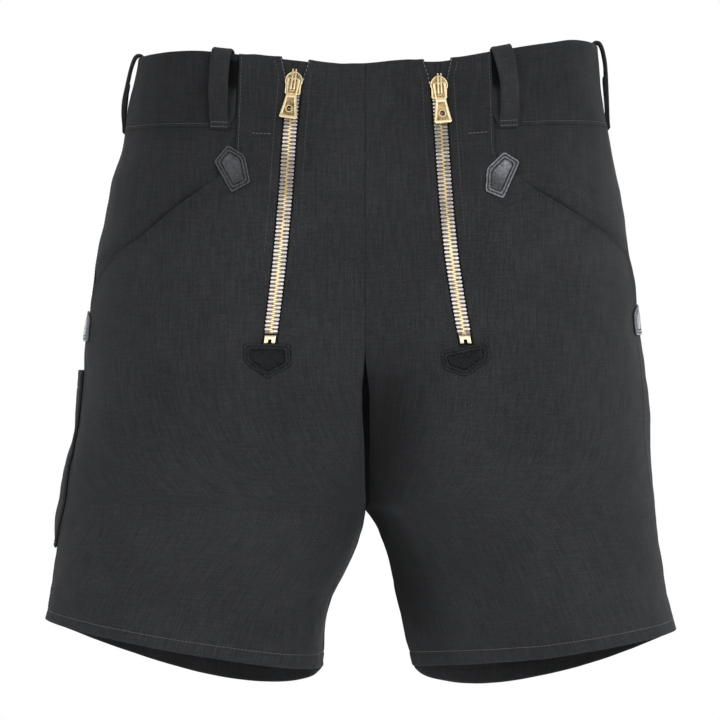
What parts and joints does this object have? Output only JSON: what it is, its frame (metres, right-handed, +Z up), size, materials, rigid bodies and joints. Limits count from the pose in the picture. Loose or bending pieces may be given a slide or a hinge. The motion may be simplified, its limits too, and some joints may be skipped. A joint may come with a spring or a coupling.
{
  "type": "work shorts",
  "caption": "Hollow dark work shorts with two brass front zips, slanted pockets, leather patches, belt loops and a side rule pocket.",
  "frame": {"origin": "middle of the waist, level with the top edge at the wearer's sides", "axes": "+Z up, the front faces -Y, +X is the wearer's left"},
  "size_m": [0.503, 0.2451, 0.5206],
  "materials": {
    "cloth": "matt heavy cotton twill",
    "tape": "woven zip tape",
    "brass": "polished",
    "leather": "semi-gloss grained"
  },
  "bodies": {
    "shorts": {"front_left": "cloth", "front_right": "cloth", "back_left": "cloth", "back_right": "cloth", "waistband_left": "cloth", "waistband_right": "cloth", "hip_yoke_left": "cloth", "hip_yoke_right": "cloth", "rule_pocket": "cloth", "belt_loop_front_left": "cloth", "belt_loop_front_right": "cloth", "belt_loop_side_left": "cloth", "belt_loop_side_right": "cloth", "belt_loop_back": "cloth", "zip_guard_left": "cloth", "zip_guard_right": "cloth", "zip_tape_left": "tape", "zip_tape_right": "tape", "zip_chain_left": "brass", "zip_chain_right": "brass", "zip_stop_left": "brass", "zip_stop_right": "brass", "slider_left": "brass", "slider_right": "brass", "pocket_patch_left": "leather", "pocket_patch_right": "leather", "zip_end_tab_left": "leather", "zip_end_tab_right": "leather", "side_patch_left": "leather", "side_patch_right": "leather"},
    "left_pull": {"pull_tab_left": "brass"},
    "right_pull": {"pull_tab_right": "brass"}
  },
  "joints": [
    {"name": "left_pull_swing", "type": "hinge", "parent": "shorts", "child": "left_pull", "pos_m": [0.05687, -0.09414, -0.02901], "axis": [-0.9988, -0.0034, -0.0479], "range_deg": [0, 155]},
    {"name": "right_pull_swing", "type": "hinge", "parent": "shorts", "child": "right_pull", "pos_m": [-0.05516, -0.09342, -0.0257], "axis": [-0.998, -0.0044, 0.0632], "range_deg": [0, 155]}
  ]
}
